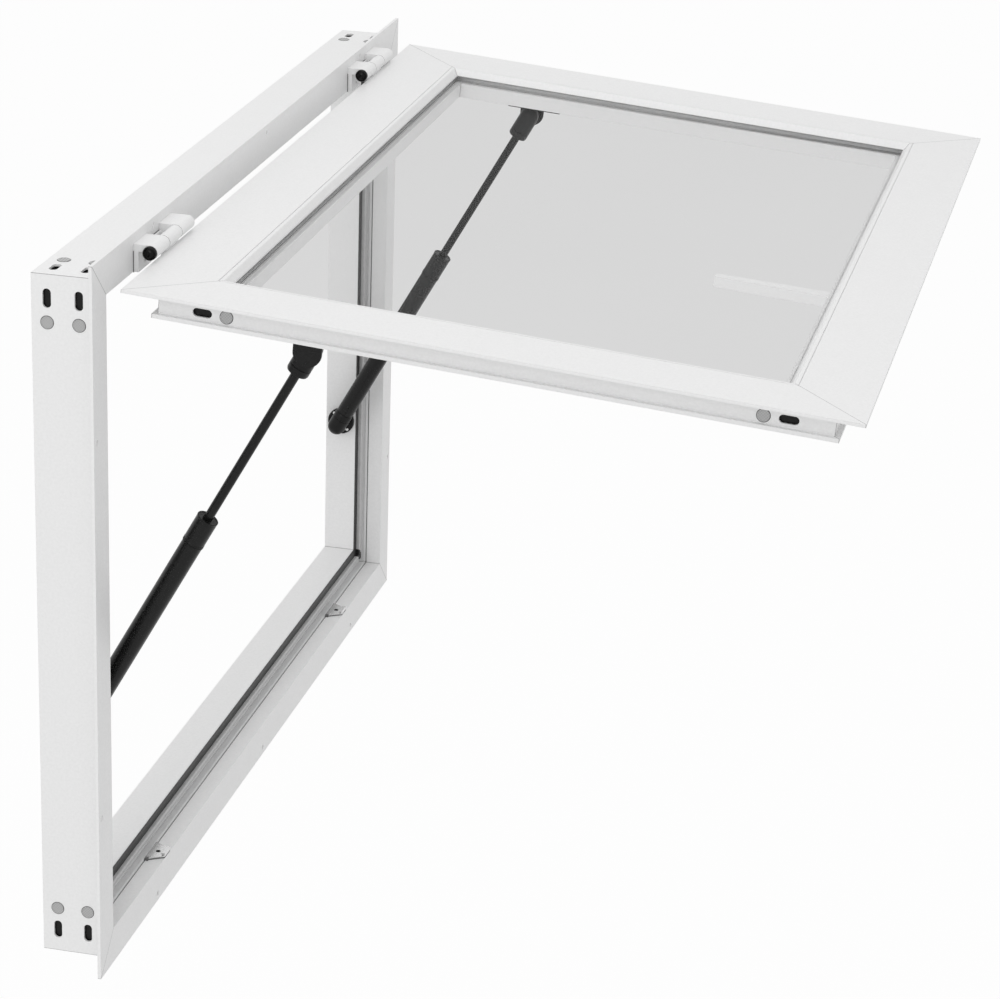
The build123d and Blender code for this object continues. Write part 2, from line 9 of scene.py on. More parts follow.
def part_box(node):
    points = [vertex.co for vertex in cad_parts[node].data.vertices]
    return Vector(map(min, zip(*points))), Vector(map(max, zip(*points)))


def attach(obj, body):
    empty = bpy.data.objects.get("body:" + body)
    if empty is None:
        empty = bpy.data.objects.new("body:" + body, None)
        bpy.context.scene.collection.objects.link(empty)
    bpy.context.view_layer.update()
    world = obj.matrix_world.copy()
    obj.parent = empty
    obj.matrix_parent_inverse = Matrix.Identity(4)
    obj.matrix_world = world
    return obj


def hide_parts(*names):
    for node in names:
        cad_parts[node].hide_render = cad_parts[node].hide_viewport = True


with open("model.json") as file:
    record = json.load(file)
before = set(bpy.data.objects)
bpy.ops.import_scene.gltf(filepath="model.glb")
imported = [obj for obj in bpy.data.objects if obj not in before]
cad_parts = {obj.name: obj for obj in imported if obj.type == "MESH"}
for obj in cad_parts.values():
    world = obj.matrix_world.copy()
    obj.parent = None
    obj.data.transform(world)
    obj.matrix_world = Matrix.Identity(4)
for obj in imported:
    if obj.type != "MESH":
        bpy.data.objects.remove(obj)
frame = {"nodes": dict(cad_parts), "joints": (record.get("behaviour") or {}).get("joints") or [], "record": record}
nodes = frame["nodes"]
joints = {joint["name"]: joint for joint in frame["joints"]}
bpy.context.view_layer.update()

# Camera, set as the photograph was taken: metres, degrees, pixels of a 1000 by 999 frame
IMAGE_WIDTH = 1000
IMAGE_HEIGHT = 999
CAMERA_AT = Vector((-2.7931, -0.8525, 1.3789))
CAMERA_AZIMUTH = -77.262
CAMERA_ELEVATION = 20.842
CAMERA_ROLL = 1.856
FOCAL_PIXELS = 3302.4
CENTRE_PIXEL = (489.8, 494.3)
SENSOR_WIDTH = 36.0

# Floor, surround and lamps: metres and watts
FLOOR_Z = -0.62
FLOOR_SIZE = 60.0
FLOOR_GLOW = 0.95           # share of the floor's white that is seen directly
FLOOR_GLOW_THROUGH = 0.18   # the same share seen through the pane
SURROUND = 0.72             # strength of the surround as a light
LAMP_ABOVE = {"place": (-0.6, -0.2, 3.2), "aim": (0, -0.2, 0.4), "size": 2.4, "power": 15}
LAMP_LEFT = {"place": (-3.2, 0.6, 1.6), "aim": (0, 0, 0.3), "size": 2.0, "power": 20}

# Sizes of the part that no box gives, in metres
FLANGE_LAP = 0.014
FLANGE_FACE = -0.003        # depth of the flange's front
PLATE_INSET = 0.004         # body's face to the door plate's edge
HINGE_OUT = 0.0068          # pin to the door's outer face
HINGE_RISE = 0.0032         # pin to the door plate's edge
DOOR_WALL_INSET = 0.024
DOOR_THICKNESS = 0.026
SEAM = 0.0005               # width of a mitred joint as it shows
SEAL_SHADE_DEPTH = 0.020     # behind this the seal is painted black as the shade under and behind its bulb
SEAL_CORNER = 0.006         # black corner piece of the seal

# Plugs and slots near the corners
FRAME_PLUG_FROM_END = 0.040
FRAME_SLOT_FROM_END = 0.020
FRAME_ROWS = (0.0133, 0.040)
DOOR_PLUG_FROM_END = 0.0805
DOOR_SLOT_FROM_END = 0.0605
DOOR_ROWS = (0.016,)
SHADE_CLEAT_GAP = 0.003           # outside of the wall to the corner cleat behind it, black to paint the shade inside the slot
SHADE_CLEAT_SIZE = (0.0015, 0.011, 0.020)

# Hinges
KNUCKLE = 0.032
KNUCKLE_GAP = 0.0003
HINGE_PAD = 0.0046          # thickness of the frame leaf under its knuckles
HINGE_SCREW_RISE = 0.006
# a dark sheet behind each hinge leaf, lapping out past it: painted shade round the leaf
LEAF_SHADE_LAP = 0.0004
LEAF_SHADE_THICKNESS = 0.0006

# Struts and their bases
SOCKET_RADIUS = 0.0095
LOWER_SOCKET_REACH = 0.018
UPPER_SOCKET_REACH = 0.025
CYLINDER_LENGTH = 0.2095
COLLAR_LENGTH = 0.025
BASE_THICKNESS = 0.003
BOLT_CIRCLE = 0.011
BOLT_TURNS = (50, 230)      # degrees about the base

# Brackets and handle on the door
BRACKET_ALONG = 0.151
BRACKET_THICKNESS = 0.002
BRACKET_SCREW_SHARE = 0.3   # of the bracket's width, from its inner edge to its screws
BRACKET_SCREW_SPACING = 0.038
HANDLE_BASE_HEIGHT = 0.010
HANDLE_SCREW_SPACING = 0.042
LEVER_FACE = 0.056          # depth of the lever's top over the spindle

# Strikers
STRIKER_BACK_WIDTH = 0.034
STRIKER_FRONT_WIDTH = 0.014
STRIKER_THICKNESS = 0.002
STRIKER_SCREW_BACK = 0.0085 # flange's front to the screw
SHADOW_PAD_LAP = 0.0004
SHADOW_PAD_THICKNESS = 0.0009
SHADOW_BLOCK_SIZE = (0.0035, 0.003, 0.0024)
SHADOW_BLOCK_INSET = 0.002          # back corner of the dark pad to the middle of the dark block

# Dark lines of painted shade in the throat and in front of the pane, and the tape behind the pane
THROAT_INSET = 0.018
GROOVE_START = 0.012
GROOVE_WIDTH = 0.001
GROOVE_DEPTH = 0.0008
THROAT_SHADE_LINE = (0.0002, 0.0008)  # thickness and width
GLASS_DEPTH = 0.007
GLASS_BACK = 0.012
GASKET_END = 0.069          # plate's edge to the end of the gasket in front of the pane
GASKET_LINE = (0.0001, 0.0004)
TAPE_INSET = 0.068          # plate's edge to the tape behind the pane
TAPE_LINE = (0.0005, 0.0001)
LINE_CLEARANCE = 0.00005    # a line to the face of the glass

# Turned outlines as (radius, height) pairs, in millimetres
PLUG_PROFILE = [(5.25, 0), (5.25, 0.3), (5.0, 0.6), (4.5, 0.6), (4.25, 0.3)]
# a thin black ring round each plug: painted shade of the gap round it
PLUG_SHADE_RIM_PROFILE = [(5.7, 0), (5.6, 0.12)]
CAP_PROFILE = [
    (5.85, 0), (5.85, 2.6), (5.6, 3.2), (5.1, 3.5), (4.6, 3.5), (4.4, 3.1), (4.0, 3.1),
    (3.8, 3.5), (2.9, 4.0), (1.6, 4.3), (0.5, 4.4),
]
# black rings between the hinge knuckles, which paint the shade of the gaps
GAP_SHADE_RING_PROFILE = [(5.9, -0.1), (6.05, 0.0), (6.05, 0.3), (5.9, 0.4)]
RING_PROFILE = [
    (9.0, -1.6), (9.5, -1.3), (9.5, -0.4), (9.1, -0.2), (9.1, 0.4), (9.5, 0.6), (9.5, 1.4),
    (9.3, 1.7),
]
LIP_PROFILE = [(9.3, -0.8), (9.5, -0.4), (9.5, 0.2), (9.1, 0.6), (8.4, 0.6), (8.0, 0.05)]
BASE_RIM_PROFILE = [(14.1, 0), (14.1, 2.5), (13.6, 3.2), (12.8, 3.5), (12.4, 3.05)]
SPINDLE_CAP_PROFILE = [(7.0, 0), (7.0, 0.8), (6.2, 1.5), (3.0, 1.8), (0.5, 1.85)]
PAN_HEAD_PROFILE = [(1, 0), (1, 0.3), (0.8, 0.52), (0.5, 0.6), (0.36, 0.6), (0.32, 0.3)]
HINGE_SCREW_PROFILE = [(2.5, 0), (2.5, 0.12), (1.2, 0.12), (1.0, 0.02)]
STRIKER_SCREW_PROFILE = [(2.2, 0), (2.2, 0.12), (1.3, 0.1), (1.0, 0.02)]
BOLT_RADIUS = 1.7
BRACKET_SCREW_RADIUS = 2.6
HANDLE_SCREW_RADIUS = 2.4
DOME_STEPS = 8
LATHE_STEPS = 40
PLUG_STEPS = 32
SCREW_STEPS = 24
SHARP_FROM = 35             # degrees between faces that meet at a hard edge

Panel = namedtuple("Panel", "place width height")


def upright(origin, down, depth):
    """Places on a panel: x across, y down from its top edge, z from its outside to the room."""
    turn = Matrix((Vector((1, 0, 0)), down, depth)).transposed().to_4x4()
    return Matrix.Translation(origin) @ turn


body_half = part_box("frame_head")[1].x - FLANGE_LAP
body_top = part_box("frame_head")[1].z - FLANGE_LAP
body_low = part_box("frame_sill")[0].z + FLANGE_LAP
body_height = body_top - body_low
open_angle = radians(joints["door_swing"]["range_deg"][1])
pin = Vector(joints["door_swing"]["pos_m"])
door_in = Vector((0, cos(open_angle), -sin(open_angle)))
door_down = Vector((0, -sin(open_angle), -cos(open_angle)))
frame_panel = Panel(
    upright(Vector((0, 0, body_top)), Vector((0, 0, -1)), Vector((0, 1, 0))),
    2 * body_half,
    body_height,
)
door_panel = Panel(
    upright(pin + door_in * HINGE_OUT + door_down * HINGE_RISE, door_down, door_in),
    2 * (body_half - PLATE_INSET),
    body_height - 2 * PLATE_INSET,
)


def make_camera():
    """A camera that looks down at the window from the left of its outside face."""
    az = radians(CAMERA_AZIMUTH)
    el = radians(CAMERA_ELEVATION)
    roll = radians(CAMERA_ROLL)
    back = Vector((sin(az) * cos(el), -cos(az) * cos(el), sin(el)))
    right = Vector((cos(az), sin(az), 0))
    up = back.cross(right)
    right, up = right * cos(roll) + up * sin(roll), up * cos(roll) - right * sin(roll)
    data = bpy.data.cameras.new("camera")
    data.sensor_fit = "HORIZONTAL"
    data.sensor_width = SENSOR_WIDTH
    data.lens = FOCAL_PIXELS / IMAGE_WIDTH * SENSOR_WIDTH
    data.shift_x = (IMAGE_WIDTH / 2 - CENTRE_PIXEL[0]) / IMAGE_WIDTH
    data.shift_y = (CENTRE_PIXEL[1] - IMAGE_HEIGHT / 2) / IMAGE_WIDTH
    camera = bpy.data.objects.new("camera", data)
    turn = Matrix((right, up, back)).transposed().to_4x4()
    camera.matrix_world = Matrix.Translation(CAMERA_AT) @ turn
    bpy.context.scene.collection.objects.link(camera)
    bpy.context.scene.camera = camera


# Materials

def material(name):
    """A new node material and its shader."""
    made = bpy.data.materials.new(name)
    made.use_nodes = True
    return made, made.node_tree.nodes["Principled BSDF"]


def add_node(made, kind, **values):
    node = made.node_tree.nodes.new(kind)
    for key, value in values.items():
        setattr(node, key, value)
    return node


def link(made, source, target):
    made.node_tree.links.new(source, target)


def maths(made, operation, *values):
    """A math node that takes numbers and outputs of other nodes."""
    node = add_node(made, "ShaderNodeMath", operation=operation)
    for socket, value in zip(node.inputs, values):
        if isinstance(value, bpy.types.NodeSocket):
            link(made, value, socket)
        else:
            socket.default_value = value
    return node.outputs[0]


def object_place(made):
    return add_node(made, "ShaderNodeTexCoord").outputs["Object"]


def noise(made, scale, detail=3.0, rough=0.5):
    """Noise in the object's own metres, which stays mostly between 0.3 and 0.7."""
    grain = add_node(made, "ShaderNodeTexNoise")
    grain.inputs["Scale"].default_value = scale
    grain.inputs["Detail"].default_value = detail
    grain.inputs["Roughness"].default_value = rough
    link(made, object_place(made), grain.inputs["Vector"])
    return grain.outputs["Fac"]


def spread(made, value, low, high, start=0.3, end=0.7):
    """Maps a value from one range, which is that of noise if not given, to another."""
    ramp = add_node(made, "ShaderNodeMapRange")
    ramp.inputs["From Min"].default_value = start
    ramp.inputs["From Max"].default_value = end
    ramp.inputs["To Min"].default_value = low
    ramp.inputs["To Max"].default_value = high
    link(made, value, ramp.inputs["Value"])
    return ramp.outputs["Result"]


def tint(made, value, dark, light):
    """Mixes two colours, each a triple or another node's output, by a value."""
    mix = add_node(made, "ShaderNodeMix", data_type="RGBA")
    for socket, colour in ((mix.inputs[6], dark), (mix.inputs[7], light)):
        if isinstance(colour, bpy.types.NodeSocket):
            link(made, colour, socket)
        else:
            socket.default_value = (*colour, 1)
    link(made, value, mix.inputs[0])
    return mix.outputs[2]


def grey(level):
    return (level, level, level)


def bump(made, value, height, strength, edge=0.0):
    """Surface relief from a value, over edges that are rounded by a small radius."""
    node = add_node(made, "ShaderNodeBump")
    node.inputs["Strength"].default_value = strength
    node.inputs["Distance"].default_value = height
    link(made, value, node.inputs["Height"])
    if edge:
        rounded = add_node(made, "ShaderNodeBevel", samples=4)
        rounded.inputs["Radius"].default_value = edge
        link(made, rounded.outputs["Normal"], node.inputs["Normal"])
    return node.outputs["Normal"]


def surface(made, shader, gloss, swing, patches, grain, height, strength, edge, detail=3.0):
    """A roughness that varies in patches, and a fine grain in relief."""
    rough = spread(made, noise(made, patches), gloss - swing, gloss + swing)
    link(made, rough, shader.inputs["Roughness"])
    relief = bump(made, noise(made, grain, detail), height, strength, edge)
    link(made, relief, shader.inputs["Normal"])


def mitre_distance(made, panel):
    """How far a point's insets from two neighbouring sides differ: 0 in a mitred joint."""
    down = panel.place.to_3x3() @ Vector((0, 1, 0))
    middle = panel.place.translation.dot(down) + panel.height / 2
    place = object_place(made)
    apart = add_node(made, "ShaderNodeSeparateXYZ")
    link(made, place, apart.inputs[0])
    along = add_node(made, "ShaderNodeVectorMath", operation="DOT_PRODUCT")
    along.inputs[1].default_value = down
    link(made, place, along.inputs[0])
    across = maths(made, "ABSOLUTE", apart.outputs["X"])
    upwards = maths(made, "ABSOLUTE", maths(made, "SUBTRACT", along.outputs["Value"], middle))
    apart_by = maths(made, "SUBTRACT", across, upwards)
    excess = maths(made, "SUBTRACT", apart_by, (panel.width - panel.height) / 2)
    return maths(made, "ABSOLUTE", excess)


def powder_coat(name, dark, light, gloss, panel=None, shine=0.45):
    """Baked powder paint: even, with a fine orange peel, and dark in a panel's mitred joints."""
    made, shader = material(name)
    specks = spread(made, noise(made, scale=420, detail=4), 0, 1)
    colour = tint(made, specks, grey(dark), grey(light))
    if panel:
        clear = spread(made, mitre_distance(made, panel), 0, 1, start=SEAM / 2, end=SEAM)
        colour = tint(made, clear, grey(dark / 2), colour)
    link(made, colour, shader.inputs["Base Color"])
    surface(made, shader, gloss, swing=0.04, patches=60, grain=1400, detail=2,
            height=0.00006, strength=0.6, edge=0.0005)
    shader.inputs["Specular IOR Level"].default_value = shine
    return made


def rubber(name, dark, light, gloss):
    """Extruded rubber with a dull sheen and fine drawn lines."""
    made, shader = material(name)
    colour = tint(made, noise(made, scale=300), grey(dark), grey(light))
    link(made, colour, shader.inputs["Base Color"])
    surface(made, shader, gloss, swing=0.08, patches=500, grain=2500,
            height=0.00008, strength=0.5, edge=0.0004)
    return made


def seal_rubber(name):
    """The frame seal: a grey bulb, black behind it as painted shade under the bulb, and black corner pieces."""
    made, shader = material(name)
    apart = add_node(made, "ShaderNodeSeparateXYZ")
    link(made, object_place(made), apart.inputs[0])
    bulb = maths(made, "LESS_THAN", apart.outputs["Y"], SEAL_SHADE_DEPTH)
    straight = maths(made, "GREATER_THAN", mitre_distance(made, frame_panel), SEAL_CORNER)
    streaks = tint(made, noise(made, scale=240), grey(0.42), grey(0.6))
    # painted shade: behind the bulb the seal is black, where the shade falls
    colour = tint(made, maths(made, "MULTIPLY", bulb, straight), grey(0.012), streaks)
    link(made, colour, shader.inputs["Base Color"])
    surface(made, shader, gloss=0.4, swing=0.06, patches=500, grain=2500,
            height=0.00008, strength=0.5, edge=0.0004)
    return made


def plastic(name, dark, light, gloss, shine):
    """Moulded plastic with a fine spark-eroded texture."""
    made, shader = material(name)
    colour = tint(made, noise(made, scale=120), grey(dark), grey(light))
    link(made, colour, shader.inputs["Base Color"])
    surface(made, shader, gloss, swing=0.05, patches=400, grain=3000,
            height=0.00004, strength=0.5, edge=0.0005)
    shader.inputs["Specular IOR Level"].default_value = shine
    return made


def plug_plastic(name, dark, light, hatching):
    """Moulded plugs with a crosshatched face, hatching in radians per metre."""
    made, shader = material(name)
    apart = add_node(made, "ShaderNodeSeparateXYZ")
    link(made, object_place(made), apart.inputs[0])
    turns = [maths(made, "MULTIPLY", apart.outputs[axis], hatching) for axis in "YZ"]
    hatch = maths(made, "MULTIPLY", *(maths(made, "SINE", turn) for turn in turns))
    colour = tint(made, spread(made, hatch, 0, 1, start=-0.6, end=0.6), grey(dark), grey(light))
    link(made, colour, shader.inputs["Base Color"])
    link(made, spread(made, noise(made, scale=900), 0.4, 0.55), shader.inputs["Roughness"])
    link(made, bump(made, hatch, height=0.0001, strength=0.5), shader.inputs["Normal"])
    return made


def steel(name, dark, light, gloss):
    """Bare plated steel with a faint drawn grain."""
    made, shader = material(name)
    colour = tint(made, noise(made, scale=260), grey(dark), grey(light))
    link(made, colour, shader.inputs["Base Color"])
    surface(made, shader, gloss, swing=0.04, patches=900, grain=2600,
            height=0.00002, strength=0.3, edge=0.0003)
    shader.inputs["Metallic"].default_value = 1.0
    return made


def glass(name, dark, light):
    """A tinted pane with faint unevenness in its tint and surface."""
    made, shader = material(name)
    colour = tint(made, noise(made, scale=3, detail=2), grey(dark), grey(light))
    link(made, colour, shader.inputs["Base Color"])
    link(made, spread(made, noise(made, scale=40), 0.05, 0.08), shader.inputs["Roughness"])
    shader.inputs["Alpha"].default_value = 0.055
    shader.inputs["IOR"].default_value = 1.5
    return made


frame_paint = powder_coat("frame_powder_coat", 0.83, 0.87, gloss=0.42, panel=frame_panel)
door_paint = powder_coat("door_powder_coat", 0.83, 0.87, gloss=0.42, panel=door_panel)
plain_paint = powder_coat("white_powder_coat", 0.83, 0.87, gloss=0.4)
# painted light: the handle's coat is a brighter copy of the white powder coat, so the lever shaded by the pane
# still looks fully lit
handle_brightened_paint = powder_coat("handle_brightened_coat", 0.92, 0.94, gloss=0.3)
black_lacquer = powder_coat("black_lacquer", 0.005, 0.009, gloss=0.27, shine=0.22)
black_moulding = plastic("black_moulding", 0.004, 0.009, gloss=0.34, shine=0.2)
cap_moulding = plastic("cap_moulding", 0.002, 0.004, gloss=0.1, shine=0.16)
zinc_steel = steel("zinc_steel", 0.6, 0.7, gloss=0.24)
plug_moulding = plug_plastic("plug_moulding", 0.34, 0.5, hatching=2600)
# painted light: the black glazing gasket is coloured light grey, lifting the shade in the band under the bead
lightened_glazing_rubber = rubber("lightened_glazing_rubber", 0.62, 0.7, gloss=0.45)
# dark rubber for painted shade lines round the hinge leaves, under the strikers, in the throat's groove and at the
# gasket in front of the pane, and for the tape behind the pane
shade_and_tape_rubber = rubber("shade_and_tape_rubber", 0.1, 0.16, gloss=0.6)
SLOT_MATERIALS = {
    "white_aluminium": plain_paint,
    "black_rubber": lightened_glazing_rubber,
    "grey_plastic": plug_moulding,
    "black_plastic": black_moulding,
    "black_steel": black_lacquer,
    "bright_steel": zinc_steel,
    "tinted_glass": glass("tinted_glass", 0.22, 0.25),
}
NODE_MATERIALS = {
    "frame_seal": seal_rubber("seal_rubber"),
    "lever_handle": handle_brightened_paint,
    "handle_base": handle_brightened_paint,
}
for member in ("frame_head", "frame_sill", "frame_left_jamb", "frame_right_jamb"):
    NODE_MATERIALS[member] = frame_paint
for member in ("door_top_rail", "door_bottom_rail", "door_left_stile", "door_right_stile"):
    NODE_MATERIALS[member] = door_paint


def dress_nodes():
    """Each carried-over piece gets its own material or that of its slot."""
    for part in frame["record"]["subparts"]:
        slot_material = SLOT_MATERIALS[part["material_slot"]]
        mesh = nodes[part["node"]].data
        mesh.materials.clear()
        mesh.materials.append(NODE_MATERIALS.get(part["node"], slot_material))


# Mesh building

def facing(point, axis):
    """A place whose z points along an axis."""
    turn = Vector(axis).to_track_quat("Z", "Y").to_matrix().to_4x4()
    return Matrix.Translation(point) @ turn


def lathe(profile, place, steps=LATHE_STEPS):
    """A solid of revolution: (radius, height) pairs in millimetres about the place's z."""
    corners = []
    for radius, height in profile:
        for step in range(steps):
            turn = 2 * pi * step / steps
            corner = Vector((radius * cos(turn), radius * sin(turn), height)) / 1000
            corners.append(place @ corner)
    faces = [tuple(reversed(range(steps))), tuple(range(len(corners) - steps, len(corners)))]
    for row in range(len(profile) - 1):
        for step in range(steps):
            here, after = row * steps + step, row * steps + (step + 1) % steps
            faces.append((here, after, after + steps, here + steps))
    return corners, faces


def block(middle, size, place):
    """A box about a middle, in metres of the place."""
    half = Vector(size) / 2
    corners = []
    for sign in [(x, y, z) for x in (-1, 1) for y in (-1, 1) for z in (-1, 1)]:
        corners.append(place @ (Vector(middle) + Vector([s * h for s, h in zip(sign, half)])))
    faces = [(0, 1, 3, 2), (4, 6, 7, 5), (0, 4, 5, 1), (2, 3, 7, 6), (0, 2, 6, 4), (1, 5, 7, 3)]
    return corners, faces


def prism(outline, height, place):
    """A flat outline of (x, y) pairs, raised along the place's z."""
    count = len(outline)
    corners = [place @ Vector((x, y, z)) for z in (0, height) for x, y in outline]
    faces = [tuple(reversed(range(count))), tuple(range(count, 2 * count))]
    faces += [(n, (n + 1) % count, (n + 1) % count + count, n + count) for n in range(count)]
    return corners, faces


def piece(name, body, finish, parts, replaces=()):
    """One mesh made of several solids, which moves with a body of the part."""
    corners, faces = [], []
    for part_corners, part_faces in parts:
        first = len(corners)
        corners += part_corners
        faces += [[first + number for number in face] for face in part_faces]
    mesh = bpy.data.meshes.new(name)
    mesh.from_pydata(corners, [], faces)
    mesh.polygons.foreach_set("use_smooth", [True] * len(faces))
    mesh.set_sharp_from_angle(angle=radians(SHARP_FROM))
    mesh.materials.append(finish)
    made = bpy.data.objects.new(name, mesh)
    bpy.context.scene.collection.objects.link(made)
    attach(made, body)
    if replaces:
        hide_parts(*replaces)


def screw(point, axis, radius):
    """A pan head with a round recess, radius in millimetres."""
    profile = [(radius * r, radius * h) for r, h in PAN_HEAD_PROFILE]
    return lathe(profile, facing(point, axis), SCREW_STEPS)


def sides(panel):
    """For each side of a panel: x from its edge inwards, y from outside to room, z along it."""
    found = {}
    for side, middle, inward, half in (
        ("top", (0, 0), (0, 1, 0), panel.width / 2),
        ("bottom", (0, panel.height), (0, -1, 0), panel.width / 2),
        ("left", (-panel.width / 2, panel.height / 2), (1, 0, 0), panel.height / 2),
        ("right", (panel.width / 2, panel.height / 2), (-1, 0, 0), panel.height / 2),
    ):
        across, depth = Vector(inward), Vector((0, 0, 1))
        axes = Matrix((across, depth, across.cross(depth))).transposed().to_4x4()
        found[side] = (panel.place @ Matrix.Translation((*middle, 0)) @ axes, half)
    return found


def strip_round(panel, inset, depth, size):
    """Four strips of one size, x and y as in sides, that run to an inset from a panel's edges."""
    across, deep = size
    middle = (inset[0] + across / 2, depth, 0)
    return [
        block(middle, (across, deep, 2 * (half - inset[1])), place)
        for place, half in sides(panel).values()
    ]


# Pieces of the corners

def make_corners(name, panel, names, inset, plug_from_end, slot_from_end, rows):
    """Plug heads on the outside of a panel's members, thin black rings round them that paint the shade of their
    gaps, and a black cleat behind each slot that paints the shade inside it.
    """
    plugs, plug_shade_rims, slot_shade_cleats = [], [], []
    for side, (place, half) in sides(panel).items():
        if side not in names:
            continue
        outward = place.to_3x3() @ Vector((-1, 0, 0))
        for end in (-1, 1):
            for row in rows:
                point = place @ Vector((inset, row, end * (half - plug_from_end)))
                plugs.append(lathe(PLUG_PROFILE, facing(point, outward), PLUG_STEPS))
                # painted shade: a black ring round the plug
                plug_shade_rims.append(lathe(PLUG_SHADE_RIM_PROFILE, facing(point, outward), PLUG_STEPS))
                # painted shade: a black cleat behind the slot makes it dark inside
                deep = inset + SHADE_CLEAT_GAP + SHADE_CLEAT_SIZE[0] / 2
                middle = (deep, row, end * (half - slot_from_end))
                slot_shade_cleats.append(block(middle, SHADE_CLEAT_SIZE, place))
    replaced = [f"{name}_corner_plugs"]
    piece(f"{name}_plug_heads", name, plug_moulding, plugs, replaced)
    piece(f"{name}_plug_gap_shade", name, black_moulding, plug_shade_rims)
    piece(f"{name}_slot_shade_blocks", name, black_moulding, slot_shade_cleats)


# Hinges, struts, handle and strikers

def make_hinges():
    """Domed pin caps, leaf screws, black rings between the knuckles that paint the shade of their gaps, and a dark
    sheet behind each leaf that paints the shade round its edges.
    """
    caps, gap_shade_rings, screws, leaf_shade_sheets = [], [], [], []
    for hand in ("left", "right"):
        low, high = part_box(f"hinge_{hand}_frame_leaf")
        caps.append(lathe(CAP_PROFILE, facing((low.x, pin.y, pin.z), (-1, 0, 0))))
        for number in (1, 2):
            point = (low.x + number * KNUCKLE - KNUCKLE_GAP, pin.y, pin.z)
            # painted shade: a black ring in the gap between two knuckles
            gap_shade_rings.append(lathe(GAP_SHADE_RING_PROFILE, facing(point, (1, 0, 0))))
        for x in (low.x + KNUCKLE / 2, high.x - KNUCKLE / 2):
            point = (x, FLANGE_FACE - HINGE_PAD, low.z + HINGE_SCREW_RISE)
            screws.append(lathe(HINGE_SCREW_PROFILE, facing(point, (0, -1, 0)), SCREW_STEPS))
        # painted shade: a dark sheet behind the leaf shows as a dark line round its edges
        deep = FLANGE_FACE - LEAF_SHADE_THICKNESS / 2
        middle = ((low.x + high.x) / 2, deep, (low.z + pin.z) / 2)
        width, height = high.x - low.x + 2 * LEAF_SHADE_LAP, pin.z - low.z + 2 * LEAF_SHADE_LAP
        leaf_shade_sheets.append(block(middle, (width, LEAF_SHADE_THICKNESS, height), Matrix.Identity(4)))
    piece("hinge_caps", "frame", cap_moulding, caps)
    piece("hinge_gap_shade_rings", "frame", black_moulding, gap_shade_rings)
    piece("hinge_leaf_shade", "frame", shade_and_tape_rubber, leaf_shade_sheets)
    piece("hinge_screws", "frame", plain_paint, screws)


def socket_profile(reach):
    """A domed strut end: its dome lies round the ball, its shank reaches towards the strut."""
    radius = SOCKET_RADIUS * 1000
    angles = [pi / 2 * n / DOME_STEPS for n in range(1, DOME_STEPS)]
    dome = [(radius * sin(angle), -radius * cos(angle)) for angle in angles]
    end = reach * 1000
    groove = end - 8
    return dome + [
        (radius, 0), (radius, groove), (radius - 0.5, groove + 0.3),
        (radius - 0.5, groove + 0.9), (radius, groove + 1.2), (radius, end - 2),
        (radius - 0.6, end - 0.6), (radius - 1.6, end),
    ]


def make_struts():
    """Domed sockets, the ring and lip of each cylinder, and the bolted base on each jamb."""
    for hand, sign in (("left", -1), ("right", 1)):
        high = Vector(joints[f"{hand}_strut_pivot"]["pos_m"])
        low_corner, high_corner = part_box(f"{hand}_jamb_ball_stud")
        low = (low_corner + high_corner) / 2
        low.x = high.x
        towards = (high - low).normalized()
        for level, rider, point, axis, reach in (
            ("lower", "cylinder", low, towards, LOWER_SOCKET_REACH),
            ("upper", "rod", high, -towards, UPPER_SOCKET_REACH),
        ):
            socket = lathe(socket_profile(reach), facing(point, axis))
            piece(f"{hand}_{level}_end", f"{hand}_{rider}", black_moulding,
                  [socket], [f"{hand}_strut_{level}_socket"])
        end = low + towards * (LOWER_SOCKET_REACH + CYLINDER_LENGTH)
        trim = [
            lathe(RING_PROFILE, facing(end - towards * COLLAR_LENGTH, towards)),
            lathe(LIP_PROFILE, facing(end, towards)),
        ]
        piece(f"{hand}_cylinder_trim", f"{hand}_cylinder", black_moulding, trim)
        wall = Vector((high_corner.x if sign > 0 else low_corner.x, low.y, low.z))
        inward = (-sign, 0, 0)
        rim = [lathe(BASE_RIM_PROFILE, facing(wall, inward))]
        piece(f"{hand}_base_rim", "frame", black_moulding, rim)
        bolts = []
        for turn in map(radians, BOLT_TURNS):
            across = Vector((0, cos(turn), sin(turn))) * BOLT_CIRCLE
            point = wall + across + Vector(inward) * BASE_THICKNESS
            bolts.append(screw(point, inward, BOLT_RADIUS))
        piece(f"{hand}_base_bolts", "frame", zinc_steel, bolts)


def on_door(x, along, depth):
    return door_panel.place @ Vector((x, along, depth))


def make_door_fittings():
    """Screws of the strut brackets and the handle, and the cap on the lever's spindle."""
    low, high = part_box("right_door_ball_bracket")
    bracket_screws = []
    for sign in (-1, 1):
        for end in (-1, 1):
            x = sign * (low.x + (high.x - low.x) * BRACKET_SCREW_SHARE)
            along = BRACKET_ALONG + end * BRACKET_SCREW_SPACING / 2
            point = on_door(x, along, DOOR_THICKNESS + BRACKET_THICKNESS)
            bracket_screws.append(screw(point, door_in, BRACKET_SCREW_RADIUS))
    piece("bracket_screws", "door", black_lacquer, bracket_screws)
    spindle = Vector(joints["lever_turn"]["pos_m"])
    along = (spindle - door_panel.place.translation).dot(door_down)
    handle_screws = []
    for end in (-1, 1):
        x = end * HANDLE_SCREW_SPACING / 2
        point = on_door(x, along, DOOR_THICKNESS + HANDLE_BASE_HEIGHT)
        handle_screws.append(screw(point, door_in, HANDLE_SCREW_RADIUS))
    piece("handle_screws", "door", zinc_steel, handle_screws)
    cap = lathe(SPINDLE_CAP_PROFILE, facing(on_door(0, along, LEVER_FACE), door_in))
    piece("spindle_cap", "lever", plain_paint, [cap])


